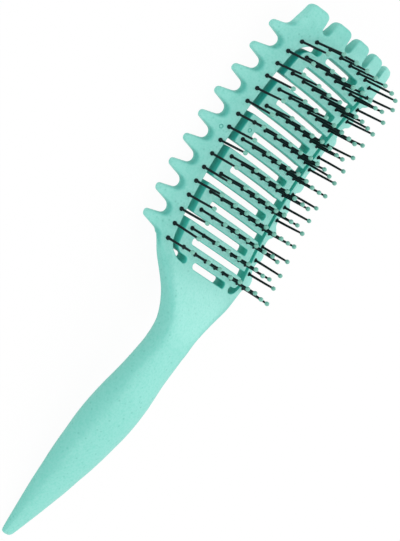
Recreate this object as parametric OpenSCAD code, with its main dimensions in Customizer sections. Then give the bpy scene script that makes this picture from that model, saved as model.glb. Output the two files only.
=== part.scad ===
// Detangling brush: a one-piece moulded handle and vented head, whose middle is a
// serpentine panel that flexes, with nylon pins in rows and a resin ball on each pin.
// The brush lies on its back. X runs from the handle tip to the finger tips, Y runs
// across the head, and Z points the way the pins do. All sizes are in millimetres.

/* [Head] */
// Distance between neighbouring ribs, and so between neighbouring pin rows
rib_pitch = 8; // [7.4:0.1:9]
// Width of the cross slots and of the lengthwise gaps
slot_w = 2.75; // [2.2:0.05:3.2]
// Distance from the centreline to the closed end of a cross slot
slot_reach = 15.8; // [14.8:0.1:16.4]
// Distance from the centreline to the rounded ends of the first and last slot
end_slot_reach = 10.9; // [8:0.1:12]
// Distance from the centreline to the middle of a lengthwise gap
gap_y = 22.6; // [22:0.1:23]
// Radius of the hook in which each lengthwise gap ends
hook_r = 6.4; // [5.8:0.1:6.8]
// Thickness of the head plate
plate_t = 4.3; // [3.8:0.1:5]
// Radius of the arch across the head
arch_r = 70; // [60:1:120]
// Radius of the lengthwise hollow of the pin side
hollow_r = 196; // [170:1:400]

/* [Edge teeth and end fingers] */
// Distance from the centreline to the tips of the edge teeth
tooth_tip_y = 36.7; // [35.5:0.1:38]
// Distance from the centreline to the floor of the valleys between the teeth
valley_y = 29.3; // [28.9:0.1:30]
// Radius of the valley floor
valley_r = 2.65; // [2.3:0.05:3]
// Radius of a tooth tip, seen from above
tooth_tip_r = 1.75; // [1.4:0.05:1.9]
// Distance between neighbouring end fingers
finger_pitch = 12.5; // [12:0.1:12.8]
// Width of an end finger
finger_w = 7.6; // [7:0.1:8]
// Length of an end finger, from the floor of the gap beside it
finger_len = 8; // [7:0.1:9.5]
// Corner radius of a finger tip
finger_r = 2.6; // [1.5:0.1:3.3]
// Drop of the finger tips below the run of the head
finger_dip = 2.4; // [1:0.1:4]
// Length over which a finger thins out to its rounded tip
finger_nose = 5; // [3:0.1:6]
// Distance from the last slot to the floor of the gaps between the fingers
end_bar = 7; // [6.6:0.1:8]

/* [Yoke and handle] */
// Length of the yoke, from the shoulder of the head to the neck
yoke_len = 37; // [32:1:45]
// Half width of the yoke at the shoulder
shoulder_y = 29.2; // [28.6:0.1:29.6]
// Length of the handle, from the neck to the tip
handle_len = 96.6; // [80:0.1:110]
// Greatest width of the handle
grip_w = 23.9; // [20:0.1:27]
// Greatest thickness of the handle
grip_t = 17.2; // [14:0.1:20]
// Height of the neck's middle above the head's lowest pin-side point
neck_z = 5.5; // [4:0.1:7]
// Drop of the handle's middle line from the neck to the tip
handle_drop = 17.4; // [14:0.1:19]
// Radius of the rounded handle tip, seen from above
handle_tip_r = 2.1; // [1.6:0.1:3]

/* [Pins] */
// Distance between neighbouring pins in a rib row
pin_pitch = 6.2; // [5.6:0.05:6.3]
// Distance from the centreline to the column of pins on each side strip
strip_pin_y = 26.1; // [25.9:0.05:26.4]
// Distance between neighbouring pins in the end row
end_pin_pitch = 6.6; // [5.5:0.1:7]
// Length of a pin above the head, up to the middle of its ball
pin_len = 15.5; // [12:0.1:18]
// Diameter of a pin's shaft at the bottom
pin_d = 1.05; // [0.8:0.05:1.2]
// Diameter of a pin's shaft at the top
pin_top_d = 0.9; // [0.7:0.05:1]
// Diameter of a pin's collar, which fills the hole
collar_d = 1.85; // [1.6:0.05:2.1]
// Height of the collar above the head
collar_h = 0.45; // [0.3:0.05:0.8]
// Diameter of the pin's head at the back
pin_head_d = 2.6; // [2.3:0.05:2.9]
// Thickness of the pin's head
pin_head_t = 0.8; // [0.6:0.05:1]
// Diameter of the ball on a pin
ball_d = 2.15; // [1.8:0.05:2.4]

/* [Fits] */
// Radial clearance between a pin and its hole, and between a ball and its pin
pin_fit = 0.05; // [0.02:0.01:0.08]
// Radial clearance round a pin's head in its recess
head_fit = 0.15; // [0.1:0.05:0.25]
// Depth by which a pin's head lies under the back of the plate
head_sink = 0.2; // [0:0.05:0.4]

/* [Hidden] */
// Number of rib rows, pins in a row, pins on a strip, pins in the end row
rib_rows = 12;
row_pins = 7;
strip_pins = 16;
end_pins = 7;
// Number of teeth on each edge, and of fingers at the end
edge_teeth = 9;
fingers = 5;

// One overrun serves every cut that goes right through
overrun = 60;
$fn = 48;

MINT = [0.53, 0.86, 0.79];
NYLON = [0.06, 0.07, 0.07];
RESIN = [0.47, 0.74, 0.66];

// Places along X. X is zero in the middle of the rib rows.
function row_x(i) = ((rib_rows - 1) / 2 - i) * rib_pitch;
function slot_x(i) = (rib_rows / 2 - i) * rib_pitch;
last_slot_x = slot_x(rib_rows);
shoulder_x = last_slot_x + 1.1 * slot_w;
valley_low_x = last_slot_x + 0.7 * slot_w;
valley_top_x = slot_x(0) + 1.8 * slot_w;
tooth_pitch = (valley_top_x - valley_low_x) / edge_teeth;
gap_floor_x = slot_x(0) + end_bar;
head_top_x = gap_floor_x + finger_len;
neck_x = shoulder_x - yoke_len;
tip_x = neck_x - handle_len;

// The first strip pin stands nearer the end than the first rib row, and is drawn in
// round the corner. The strip columns run from there to the last rib row.
strip_top_x = row_x(0) + rib_pitch / 2;
strip_low_x = row_x(rib_rows - 1) - slot_w / 8;
corner_shares = [0.995, 0.94];
function strip_x(k) = strip_top_x + (strip_low_x - strip_top_x) * k / (strip_pins - 1);
function strip_spot(k, side) = k == 0
    ? [strip_top_x * corner_shares[0], side * strip_pin_y * corner_shares[1]]
    : [strip_x(k), side * strip_pin_y];

// The end row bows a little: its outer pins stand further back
end_row_x = slot_x(0) + end_bar * 0.57;
end_bow = end_bar * 0.15;
function end_spot(j) = let (u = j - (end_pins - 1) / 2)
    [end_row_x - (abs(u) > 2.5 ? end_bow : 0), u * end_pin_pitch];

// Half width of the handle as shares of the grip's, at even steps from neck to tip
grip_shares = [0.795, 0.862, 0.97, 1, 0.925, 0.79, 0.62, 0.415, 0.2];
// How the yoke narrows from shoulder to neck, at even steps, and how the handle drops
flare_shares = [1, 0.665, 0.275, 0.035, 0];
drop_power = 1.21;
// Roundness of a section: 2 is an ellipse, more is nearer to a rectangle
head_round = 6;
grip_round = 2.3;
// Slope of the middle line where the yoke leaves the head, and at the neck
yoke_slope = 0.05;
neck_slope = -0.1;

function smooth(t) = let (c = max(0, min(1, t))) c * c * (3 - 2 * c);
function hermite(t, p0, p1, m0, m1) =
    (2 * t * t * t - 3 * t * t + 1) * p0 + (t * t * t - 2 * t * t + t) * m0
    + (3 * t * t - 2 * t * t * t) * p1 + (t * t * t - t * t) * m1;

// A smooth curve through evenly spaced values, for t from 0 to 1
function through(values, t) =
    let (n = len(values) - 1, i = min(n - 1, floor(t * n)), f = t * n - i,
         before = values[max(0, i - 1)], after = values[min(n, i + 2)],
         a = values[i], b = values[i + 1])
    hermite(f, a, b, (b - before) / (i == 0 ? 1 : 2), (after - a) / (i == n - 1 ? 1 : 2));

// How far along the yoke and the handle a place is, from 0 to 1
function yoke_t(x) = (shoulder_x - x) / yoke_len;
function handle_t(x) = (neck_x - x) / handle_len;
function thicken_t(x) = (shoulder_x + 0.14 * yoke_len - x) / (1.14 * yoke_len);
function end_cap(x, end_x, r) = let (d = abs(end_x - x))
    d >= r ? 1 : sqrt(max(0, 1 - pow(1 - d / r, 2)));

neck_y = grip_shares[0] * grip_w / 2;
neck_half_t = grip_shares[0] * grip_t / 2;

// Half width of the section at x
function half_width(x) =
    x > shoulder_x ? tooth_tip_y
    : x > neck_x ? neck_y + (shoulder_y - neck_y) * through(flare_shares, yoke_t(x))
    : grip_w / 2 * through(grip_shares, min(1, handle_t(x))) * end_cap(x, tip_x, handle_tip_r);

// Half thickness of the section at x
function half_thickness(x) =
    x > neck_x ? (plate_t / 2 + (neck_half_t - plate_t / 2) * smooth(thicken_t(x)))
        * end_cap(x, head_top_x, finger_nose)
    : grip_t / 2 * through(grip_shares, min(1, handle_t(x))) * end_cap(x, tip_x, handle_tip_r);

// Height of the pin side's middle line over the head, with the fingers dipping back
function crown(x) = hollow_r - sqrt(hollow_r * hollow_r - x * x)
    - finger_dip * pow(max(0, x - end_row_x) / (head_top_x - end_row_x), 2);
function plate_mid(x) = crown(x) - (plate_t / 2
    + (neck_half_t - plate_t / 2) * smooth(thicken_t(x)));

// Height of the section's middle at x
function middle(x) =
    x > shoulder_x ? plate_mid(x)
    : x > neck_x ? hermite(yoke_t(x), plate_mid(shoulder_x), neck_z,
                           yoke_slope * yoke_len, neck_slope * yoke_len)
    : neck_z - handle_drop * pow(min(1, handle_t(x)), drop_power);

// Drop of the arch across the head, which fades out along the yoke
function arch(x, y) = (arch_r - sqrt(arch_r * arch_r - y * y)) * (1 - smooth(yoke_t(x)));
function roundness(x) = head_round + (grip_round - head_round) * smooth(thicken_t(x));

// Height of the skin at (x, y), on the pin side with side = 1 and the back with -1
function skin(x, y, side) = let (n = roundness(x), share = min(1, abs(y) / half_width(x)))
    middle(x) - arch(x, y) + side * half_thickness(x) * pow(1 - pow(share, n), 1 / n);

// One section is a ring of points, over the pin side and back under it
ring_steps = 10;
function across(x, j) = half_width(x) * sin(90 * j / ring_steps);
function ring(x) = concat(
    [for (j = [ring_steps : -1 : -ring_steps]) [x, across(x, j), skin(x, across(x, j), 1)]],
    [for (j = [-ring_steps + 1 : ring_steps - 1]) [x, across(x, j), skin(x, across(x, j), -1)]]);

// Places of the sections, closer together where the ends are rounded
cap_steps = 4;
head_steps = 15;
yoke_steps = 12;
handle_steps = 16;
shoulder_step = 0.1;
head_cap_x = head_top_x - finger_nose;
tip_cap_x = tip_x + handle_tip_r;
stations = concat(
    [for (i = [1 : cap_steps]) head_cap_x + finger_nose * cos(90 * i / (cap_steps + 1) - 12)],
    [for (i = [0 : head_steps]) head_cap_x
        + (shoulder_x + shoulder_step - head_cap_x) * i / head_steps],
    [for (i = [0 : yoke_steps]) shoulder_x - yoke_len * i / yoke_steps],
    [for (i = [1 : handle_steps]) neck_x + (tip_cap_x - neck_x) * i / handle_steps],
    [for (i = [1 : cap_steps]) tip_cap_x - handle_tip_r * sin(90 * i / (cap_steps + 0.4))]);

// Strips that close an end ring of n points, from its pin side to its back
function end_strips(n) = [for (k = [0 : n / 2 - 1])
    let (a = k, b = k + 1, c = n - k - 1, d = (n - k) % n)
    k == 0 ? [a, b, c] : b == c ? [a, b, d] : [a, b, c, d]];
function flipped(face) = [for (i = [len(face) - 1 : -1 : 0]) face[i]];

// Skin through all sections, closed at both ends
module skinned_blank() {
    rings = [for (x = stations) ring(x)];
    n = len(rings[0]);
    m = len(rings);
    sides = [for (s = [0 : m - 2], k = [0 : n - 1])
        let (a = s * n + k, b = s * n + (k + 1) % n)
        each [[a, b, a + n], [b, b + n, a + n]]];
    head_end = [for (f = end_strips(n)) flipped(f)];
    handle_end = [for (f = end_strips(n)) [for (k = f) (m - 1) * n + k]];
    polyhedron(points = [for (r = rings) each r],
               faces = concat(sides, head_end, handle_end));
}

// Plan of one edge tooth, its root on the valley line and its tip up along Y. Its flanks
// touch the round tip.
module tooth_plan(root_y) {
    root = tooth_pitch / 2 - valley_r;
    rise = tooth_tip_y - tooth_tip_r - root_y;
    d = sqrt(root * root + rise * rise);
    turn = atan2(rise, -root) - asin(tooth_tip_r / d);
    run = sqrt(d * d - tooth_tip_r * tooth_tip_r);
    touch = [root + run * cos(turn), root_y + run * sin(turn)];
    polygon([[-root, root_y - valley_r], [root, root_y - valley_r], [root, root_y],
             touch, [-touch[0], touch[1]], [-root, root_y]]);
    translate([0, tooth_tip_y - tooth_tip_r]) circle(tooth_tip_r);
}

// Plan of one end finger with two rounded corners
module finger_plan(width) {
    reach = head_top_x - last_slot_x;
    translate([last_slot_x, -width / 2]) square([reach - finger_r, width]);
    translate([last_slot_x, -width / 2 + finger_r]) square([reach, width - 2 * finger_r]);
    for (side = [-1, 1])
        translate([head_top_x - finger_r, side * (width / 2 - finger_r)]) circle(finger_r);
}

// Plan of the whole brush: the plain handle side, the toothed strips and the fingers
module brush_plan() {
    root_y = valley_y + valley_r;
    finger_gap_r = (finger_pitch - finger_w) / 2;
    translate([tip_x - overrun, -overrun])
        square([shoulder_x - tip_x + overrun, 2 * overrun]);
    difference() {
        translate([shoulder_x - slot_w, -valley_y])
            square([gap_floor_x + finger_gap_r - shoulder_x + slot_w, 2 * valley_y]);
        for (g = [0 : fingers - 2])
            translate([gap_floor_x + finger_gap_r, (g - (fingers - 2) / 2) * finger_pitch])
                circle(finger_gap_r);
    }
    for (side = [0, 1]) mirror([0, side]) {
        difference() {
            translate([valley_low_x, 0]) square([valley_top_x - valley_low_x, root_y]);
            for (v = [0 : edge_teeth])
                translate([valley_low_x + v * tooth_pitch, root_y]) circle(valley_r);
        }
        for (t = [0 : edge_teeth - 1])
            translate([valley_low_x + (t + 0.5) * tooth_pitch, 0]) tooth_plan(root_y);
    }
    for (f = [0 : fingers - 1]) {
        y = (f - (fingers - 1) / 2) * finger_pitch;
        translate([0, y]) finger_plan(finger_w);
    }
    outer_y = (fingers - 1) / 2 * finger_pitch;
    for (side = [-1, 1])
        translate([0, side * (valley_y - finger_w / 2)]) finger_plan(finger_w);
}

// Plan of one cross slot. Its closed end has two rounded corners, and its open end runs
// into the lengthwise gap on the other side.
slot_corner_r = 1;
module slot_plan(closed_side) {
    corner = min(slot_corner_r, slot_w / 2);
    mirror([0, closed_side > 0 ? 0 : 1]) {
        translate([-slot_w / 2, -gap_y]) square([slot_w, gap_y + slot_reach - corner]);
        translate([-slot_w / 2 + corner, 0]) square([slot_w - 2 * corner, slot_reach]);
        for (side = [-1, 1])
            translate([side * (slot_w / 2 - corner), slot_reach - corner]) circle(corner);
    }
}

// Plan of a short slot with two fully rounded ends
module end_slot_plan() {
    flat = end_slot_reach - slot_w / 2;
    translate([-slot_w / 2, -flat]) square([slot_w, 2 * flat]);
    for (side = [-1, 1]) translate([0, side * flat]) circle(slot_w / 2);
}

// Plan of the quarter ring in which a lengthwise gap turns inwards to a rounded end
module hook_plan() {
    bend_x = rib_rows / 2 * rib_pitch - hook_r;
    translate([bend_x, gap_y - hook_r]) {
        intersection() {
            difference() {
                circle(hook_r + slot_w / 2);
                circle(hook_r - slot_w / 2);
            }
            square(2 * hook_r);
        }
        translate([hook_r, 0]) circle(slot_w * 0.56);
    }
}

// Plan of one lengthwise gap, hooked at both ends
module gap_plan() {
    straight = rib_rows / 2 * rib_pitch - hook_r;
    translate([-straight, gap_y - slot_w / 2]) square([2 * straight, slot_w]);
    hook_plan();
    mirror([1, 0]) hook_plan();
}

// Everything cut through the head between the ribs
module vent_plan() {
    for (i = [1 : rib_rows - 1])
        translate([slot_x(i), 0]) slot_plan(i % 2 == 1 ? 1 : -1);
    for (i = [0, rib_rows]) translate([slot_x(i), 0]) end_slot_plan();
    gap_plan();
    mirror([0, 1]) gap_plan();
}

// Places of all pins: each group is a list of [x, y]
function row_spots(i) = [for (j = [0 : row_pins - 1])
    [row_x(i), (j - (row_pins - 1) / 2) * pin_pitch]];
function strip_spots(side) = [for (k = [0 : strip_pins - 1]) strip_spot(k, side)];
end_spots = [for (j = [0 : end_pins - 1]) end_spot(j)];
all_spots = concat([for (i = [0 : rib_rows - 1]) each row_spots(i)],
                   strip_spots(1), strip_spots(-1), end_spots);

// Heights on one pin, from the skin of the pin side down to the seat of the pin's head
pin_seat = -(plate_t - head_sink - pin_head_t);
pin_top = pin_len + ball_d * 0.16;

// Hole for one pin, with a recess at the back for the pin's head
module pin_hole() {
    translate([0, 0, -plate_t - plate_t]) cylinder(h = 3 * plate_t, d = collar_d + 2 * pin_fit);
    translate([0, 0, pin_seat - plate_t])
        cylinder(h = plate_t, d = pin_head_d + 2 * head_fit);
}

// One nylon pin, turned: head, collar and tapered shaft
module pin() {
    rotate_extrude()
        polygon([[0, pin_seat - pin_head_t], [pin_head_d / 2, pin_seat - pin_head_t],
                 [pin_head_d / 2, pin_seat], [collar_d / 2, pin_seat],
                 [collar_d / 2, collar_h], [pin_d / 2, collar_h],
                 [pin_top_d / 2, pin_top], [0, pin_top]]);
}

// One resin ball with the blind hole that its pin's end fills
module ball() {
    difference() {
        translate([0, 0, pin_len]) sphere(d = ball_d);
        translate([0, 0, pin_top - ball_d]) cylinder(h = ball_d, d = pin_top_d + 2 * pin_fit);
    }
}

// Puts its children on the head at each spot, upright
module at_spots(spots) {
    for (s = spots) translate([s[0], s[1], skin(s[0], s[1], 1)]) children();
}

// The row frame: the origin is under the middle of the brush, on the surface it lies on
rest_z = min([for (x = stations, j = [0 : ring_steps]) skin(x, across(x, j), -1)]);
module placed() {
    translate([-(head_top_x + tip_x) / 2, 0, -rest_z]) children();
}

// Handle, yoke and vented head, one moulding
module brush_body() {
    color(MINT) placed() difference() {
        intersection() {
            translate([0, 0, -overrun]) linear_extrude(2 * overrun) brush_plan();
            skinned_blank();
        }
        translate([0, 0, -overrun]) linear_extrude(2 * overrun) vent_plan();
        at_spots(all_spots) pin_hole();
    }
}

// A group of pins, and the group of balls on them
module pins(spots) {
    color(NYLON) placed() at_spots(spots) pin();
}
module balls(spots) {
    color(RESIN) placed() at_spots(spots) ball();
}

function row_name(part, i) = str(part, "_row_", i < 9 ? "0" : "", i + 1);

brush_body();
for (i = [0 : rib_rows - 1]) {
    pins(row_spots(i));
    balls(row_spots(i));
}
pins(strip_spots(1));  // pins_left_strip
pins(strip_spots(-1));  // pins_right_strip
pins(end_spots);  // pins_end_row
balls(strip_spots(1));  // balls_left_strip
balls(strip_spots(-1));  // balls_right_strip
balls(end_spots);  // balls_end_row
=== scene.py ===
# %% [markdown]
# This lesson dresses the solids of a detangling brush: one mint moulding with a slotted,
# flexing head, and 123 black nylon pins that each carry a small ball of resin.
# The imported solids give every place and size. They could be given materials as they are,
# but their edges are sharp and their pins all stand alike. So they stay as a hidden frame,
# and softer pieces are made over them, with nothing fitted by eye.

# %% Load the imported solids
import bmesh
import bpy
import math
import random
from mathutils import Matrix, Vector, geometry


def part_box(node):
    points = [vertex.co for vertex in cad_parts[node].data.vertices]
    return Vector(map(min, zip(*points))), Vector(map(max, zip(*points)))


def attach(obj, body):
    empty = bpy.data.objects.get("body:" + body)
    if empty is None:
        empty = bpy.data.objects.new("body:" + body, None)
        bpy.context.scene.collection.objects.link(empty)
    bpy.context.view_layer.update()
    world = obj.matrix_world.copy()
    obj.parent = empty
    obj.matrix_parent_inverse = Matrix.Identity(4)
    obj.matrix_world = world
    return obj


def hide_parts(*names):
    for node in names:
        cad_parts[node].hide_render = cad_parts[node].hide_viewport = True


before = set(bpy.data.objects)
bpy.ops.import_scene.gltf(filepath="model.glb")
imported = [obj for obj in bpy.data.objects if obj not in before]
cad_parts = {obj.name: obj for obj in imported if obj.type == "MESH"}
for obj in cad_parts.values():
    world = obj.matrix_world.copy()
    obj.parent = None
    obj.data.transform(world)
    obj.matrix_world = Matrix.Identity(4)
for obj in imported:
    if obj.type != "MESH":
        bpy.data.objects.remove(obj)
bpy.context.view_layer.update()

# %% [markdown]
# The brush was drawn in millimetres round the middle of its pin rows, and then moved so
# that it lies on the ground. Its shape could be copied from the meshes of the solids, but
# those are loose triangles, which don't round or bend well. So the drawing is repeated here
# from the same sizes. X runs from the handle to the fingers, y to the left edge, and z goes
# up to the side of the pins.

# %% Sizes of the head, in millimetres
MM = 0.001
RIB_ROWS, RIB_PITCH, SLOT_W = 12, 8.0, 2.75
PLATE_T, ARCH_R, HOLLOW_R = 4.3, 70.0, 196.0
EDGE_TEETH, TOOTH_TIP_Y, VALLEY_Y = 9, 36.7, 29.3
END_BAR, FINGER_LEN, FINGER_TRIM, FINGER_DIP = 7.0, 8.0, 0.5, 2.4
print("head:", RIB_ROWS, "ribs", RIB_PITCH, "mm apart, in a plate", PLATE_T, "mm thick")

# %% Sizes of the yoke and the handle, in millimetres
YOKE_LEN, SHOULDER_Y, NECK_Z = 37.0, 29.2, 5.5
YOKE_SLOPE, NECK_SLOPE = 0.05, -0.1
HANDLE_LEN, HANDLE_DROP, DROP_POWER = 96.6, 17.4, 1.21
GRIP_W, GRIP_T = 23.9, 17.2
GRIP_SHARES = [0.795, 0.862, 0.97, 1, 0.925, 0.79, 0.62, 0.415, 0.2]
FLARE_SHARES = [1, 0.665, 0.275, 0.035, 0]
print("handle:", HANDLE_LEN, "mm long, at most", GRIP_W, "mm wide and", GRIP_T, "mm thick")

# %% Places along the brush
# The shoulder and the end valleys keep a distance in slot widths from the end slots.
FIRST_SLOT_X = RIB_ROWS / 2 * RIB_PITCH
LAST_SLOT_X = -FIRST_SLOT_X
SHOULDER_X = LAST_SLOT_X + 1.1 * SLOT_W
VALLEY_LOW_X = LAST_SLOT_X + 0.7 * SLOT_W
VALLEY_TOP_X = FIRST_SLOT_X + 1.8 * SLOT_W
TOOTH_PITCH = (VALLEY_TOP_X - VALLEY_LOW_X) / EDGE_TEETH
END_ROW_X = FIRST_SLOT_X + 0.57 * END_BAR
GAP_FLOOR_X = FIRST_SLOT_X + END_BAR
HEAD_TOP_X = GAP_FLOOR_X + FINGER_LEN
FINGER_TIP_X = HEAD_TOP_X - FINGER_TRIM
NECK_X = SHOULDER_X - YOKE_LEN
TIP_X = NECK_X - HANDLE_LEN


def row_x(i):
    """Middle of a row of pins. Row 0 is at the fingers."""
    return ((RIB_ROWS - 1) / 2 - i) * RIB_PITCH


def slot_x(i):
    """Middle of a slot. Slot 0 is at the fingers."""
    return (RIB_ROWS / 2 - i) * RIB_PITCH


print("brush from", round(TIP_X, 2), "to", round(HEAD_TOP_X, 2), "mm")

# %% [markdown]
# The skin of the brush is a height over each point of its plan. The head is hollow along
# its length and arched across, the yoke blends out of it, and the handle drops to its tip
# with a section that is nearly an ellipse. Such a skin could be lofted through outlines or
# sculpted. A height is chosen, because teeth, slots and pins can then be drawn flat and
# lifted onto it. A few measured values along the way give it, with smooth curves between.


# %% Smooth curves through a few values
def smooth(t):
    """From 0 to 1 with a soft start and a soft end."""
    t = max(0.0, min(1.0, t))
    return t * t * (3 - 2 * t)


def quarter_circle(t):
    """From 0 to 1, steep at first and level at the end."""
    return math.sqrt(1 - (1 - t) ** 2)


def hermite(t, p0, p1, m0, m1):
    """The cubic from p0 to p1 that has the slope m0 at its start and m1 at its end."""
    return ((2 * t**3 - 3 * t**2 + 1) * p0 + (t**3 - 2 * t**2 + t) * m0
            + (3 * t**2 - 2 * t**3) * p1 + (t**3 - t**2) * m1)


def through(values, t):
    """The curve through evenly spaced values, at the share t of its way."""
    last = len(values) - 1
    i = min(last - 1, int(t * last))
    before, after = values[max(0, i - 1)], values[min(last, i + 2)]
    a, b = values[i], values[i + 1]
    return hermite(t * last - i, a, b, (b - before) / (1 if i == 0 else 2),
                   (after - a) / (1 if i == last - 1 else 2))


print("grip shares at each tenth:", [round(through(GRIP_SHARES, k / 10), 2) for k in range(11)])

# %% How far along a place is
# The plate starts to thicken a little before the shoulder and is done at the neck.
THICKEN_START_X = SHOULDER_X + 0.14 * YOKE_LEN
THICKEN_LEN = 1.14 * YOKE_LEN


def yoke_t(x):
    return (SHOULDER_X - x) / YOKE_LEN


def handle_t(x):
    return max(0.0, min(1.0, (NECK_X - x) / HANDLE_LEN))


def thicken_t(x):
    return (THICKEN_START_X - x) / THICKEN_LEN


print("the plate thickens over", round(THICKEN_LEN, 1), "mm")

# %% Width and thickness of the skin
NECK_Y = GRIP_SHARES[0] * GRIP_W / 2
NECK_HALF_T = GRIP_SHARES[0] * GRIP_T / 2
NOSE_END, TIP_NOSE, FINGER_NOSE = 0.6, 2.6, 2.6


def half_width(x):
    if x > SHOULDER_X:
        return TOOTH_TIP_Y
    if x > NECK_X:
        return NECK_Y + (SHOULDER_Y - NECK_Y) * through(FLARE_SHARES, yoke_t(x))
    return GRIP_W / 2 * through(GRIP_SHARES, handle_t(x))


def nose(to_end, length):
    """Share of the thickness that is left near an end, which closes like a quarter circle."""
    open_share = max(0.0, min(1.0, to_end / length))
    return NOSE_END + (1 - NOSE_END) * quarter_circle(open_share)


def half_plate(x):
    """Half the thickness of the head and the yoke, apart from their noses."""
    return PLATE_T / 2 + (NECK_HALF_T - PLATE_T / 2) * smooth(thicken_t(x))


def half_thickness(x):
    if x <= NECK_X:
        return GRIP_T / 2 * through(GRIP_SHARES, handle_t(x)) * nose(x - TIP_X, TIP_NOSE)
    return half_plate(x) * nose(FINGER_TIP_X - x, FINGER_NOSE)


print("neck", round(2 * NECK_Y, 1), "mm wide and", round(2 * NECK_HALF_T, 1), "mm thick")

# %% Height and roundness of the skin
HEAD_ROUND, GRIP_ROUND, FLAT_TOP_LEN = 6.0, 2.3, 54.0


def crown(x):
    """Height of the hollow along the head, with the fingers bent down at its end."""
    dip = max(0.0, x - END_ROW_X) / (HEAD_TOP_X - END_ROW_X)
    return HOLLOW_R - math.sqrt(HOLLOW_R**2 - x * x) - FINGER_DIP * dip**2


def middle(x):
    """Height of the middle of the plastic, from the fingers to the tip of the handle."""
    if x > SHOULDER_X:
        return crown(x) - half_plate(x)
    if x > NECK_X:
        return hermite(yoke_t(x), crown(SHOULDER_X) - half_plate(SHOULDER_X), NECK_Z,
                       YOKE_SLOPE * YOKE_LEN, NECK_SLOPE * YOKE_LEN)
    return NECK_Z - HANDLE_DROP * handle_t(x) ** DROP_POWER


def arch(x, y):
    """How much lower the skin lies at y than on the middle line."""
    return (ARCH_R - math.sqrt(ARCH_R**2 - y * y)) * (1 - smooth(yoke_t(x)))


def fullness(x, y, side=1):
    """Share of the thickness that the section leaves at y. Its top stays flat for longer."""
    rounded = smooth((SHOULDER_X - x) / FLAT_TOP_LEN) if side > 0 else smooth(thicken_t(x))
    n = HEAD_ROUND + (GRIP_ROUND - HEAD_ROUND) * rounded
    share = min(1.0, abs(y) / half_width(x))
    return (1 - share**n) ** (1 / n)


def skin(x, y):
    """Height of the top of the brush."""
    return middle(x) - arch(x, y) + half_thickness(x) * fullness(x, y)


print("top at the head's middle:", round(skin(0, 0), 2), "at its edge:", round(skin(0, VALLEY_Y), 2), "mm")

# %% [markdown]
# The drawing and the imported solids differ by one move. It could be typed in, but it would
# be wrong after any change of the solids. So it is read from the boxes of the first and
# the last row of pins, and of the sixth row of balls, whose tops are level.

# %% Move from the drawing to the ground
PIN_LEN, BALL_D = 15.5, 2.15
SIXTH_ROW_X = row_x(5)
first_lo, first_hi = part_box("pins_row_01")
last_lo, last_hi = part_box("pins_row_12")
balls_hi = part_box("balls_row_06")[1]
MOVE = Vector((
    (first_lo.x + first_hi.x + last_lo.x + last_hi.x) / 4,
    (first_lo.y + first_hi.y) / 2,
    balls_hi.z - (skin(SIXTH_ROW_X, 0) + PIN_LEN + BALL_D / 2) * MM))
TO_GROUND = Matrix.Translation(MOVE) @ Matrix.Scale(MM, 4)
print("move in mm:", [round(c / MM, 3) for c in MOVE])

# %% [markdown]
# The camera comes before the pieces, because each is judged through it. It looks down from
# the left edge of the brush, far away with a long lens, and is turned so that the handle
# runs to the lower left of the picture. It could be aimed by hand. Its place and its turn
# come from a fit to the even grid of pins, ribs and teeth instead, which is more exact.

# %% Camera
LENS, SENSOR = 133.09, 36.0
CLIP_START, CLIP_END = 0.05, 20
CAMERA_PLACE = Vector((0.00031, 0.58027, 0.55476))
CAMERA_RIGHT = Vector((0.544271, -0.567851, 0.617506))
CAMERA_UP = Vector((0.838825, 0.378810, -0.390993))

camera_data = bpy.data.cameras.new("camera")
camera_data.lens, camera_data.sensor_width = LENS, SENSOR
camera_data.clip_start, camera_data.clip_end = CLIP_START, CLIP_END
camera = bpy.data.objects.new("camera", camera_data)
bpy.context.scene.collection.objects.link(camera)
back = CAMERA_RIGHT.cross(CAMERA_UP).normalized()
up = back.cross(CAMERA_RIGHT).normalized()
right = up.cross(back)
turn = Matrix((right, up, back)).transposed().to_4x4()
camera.matrix_world = Matrix.Translation(CAMERA_PLACE) @ turn
bpy.context.scene.camera = camera
print("camera looks along", [round(-c, 3) for c in back])

# %% [markdown]
# Every finish here is a small tree of nodes. It could be built in the shader editor, but a
# script can be read and run again. Four short helpers keep it short: one starts a material,
# one adds a node with its values, one adds a mix of two colours, and one joins two sockets.


# %% Helpers for node materials
def new_material(name):
    material = bpy.data.materials.new(name)
    material.use_nodes = True
    tree = material.node_tree
    tree.nodes.clear()
    return material, tree


def add_node(tree, kind, values=None, **settings):
    node = tree.nodes.new(kind)
    for key, value in settings.items():
        setattr(node, key, value)
    for key, value in (values or {}).items():
        node.inputs[key].default_value = value
    return node


def add_mix(tree, a=None, b=None):
    """A mix of two colours. A colour that is left out comes from another node."""
    mix = add_node(tree, "ShaderNodeMix", data_type="RGBA", blend_type="MIX")
    for key, colour in (("A", a), ("B", b)):
        if colour:
            mix.inputs[key].default_value = colour
    return mix


def join(tree, source, target):
    tree.links.new(source, target)


print("materials that came with the solids:", len(bpy.data.materials))

# %% [markdown]
# The brush lies on plain white. Stronger lamps could make a pale floor white, but they
# would bleach the mint too. So the floor is a large pale sheet in real light, and to the
# camera, to gloss and to clear things it is mostly its own white. A share of the real
# light is left in, so that a faint shadow stays.

# %% Finish of the floor
WHITE = (1, 1, 1, 1)
FLOOR_WHITE, OWN_WHITE_SHARE = (0.86, 0.86, 0.86, 1), 0.96

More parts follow.
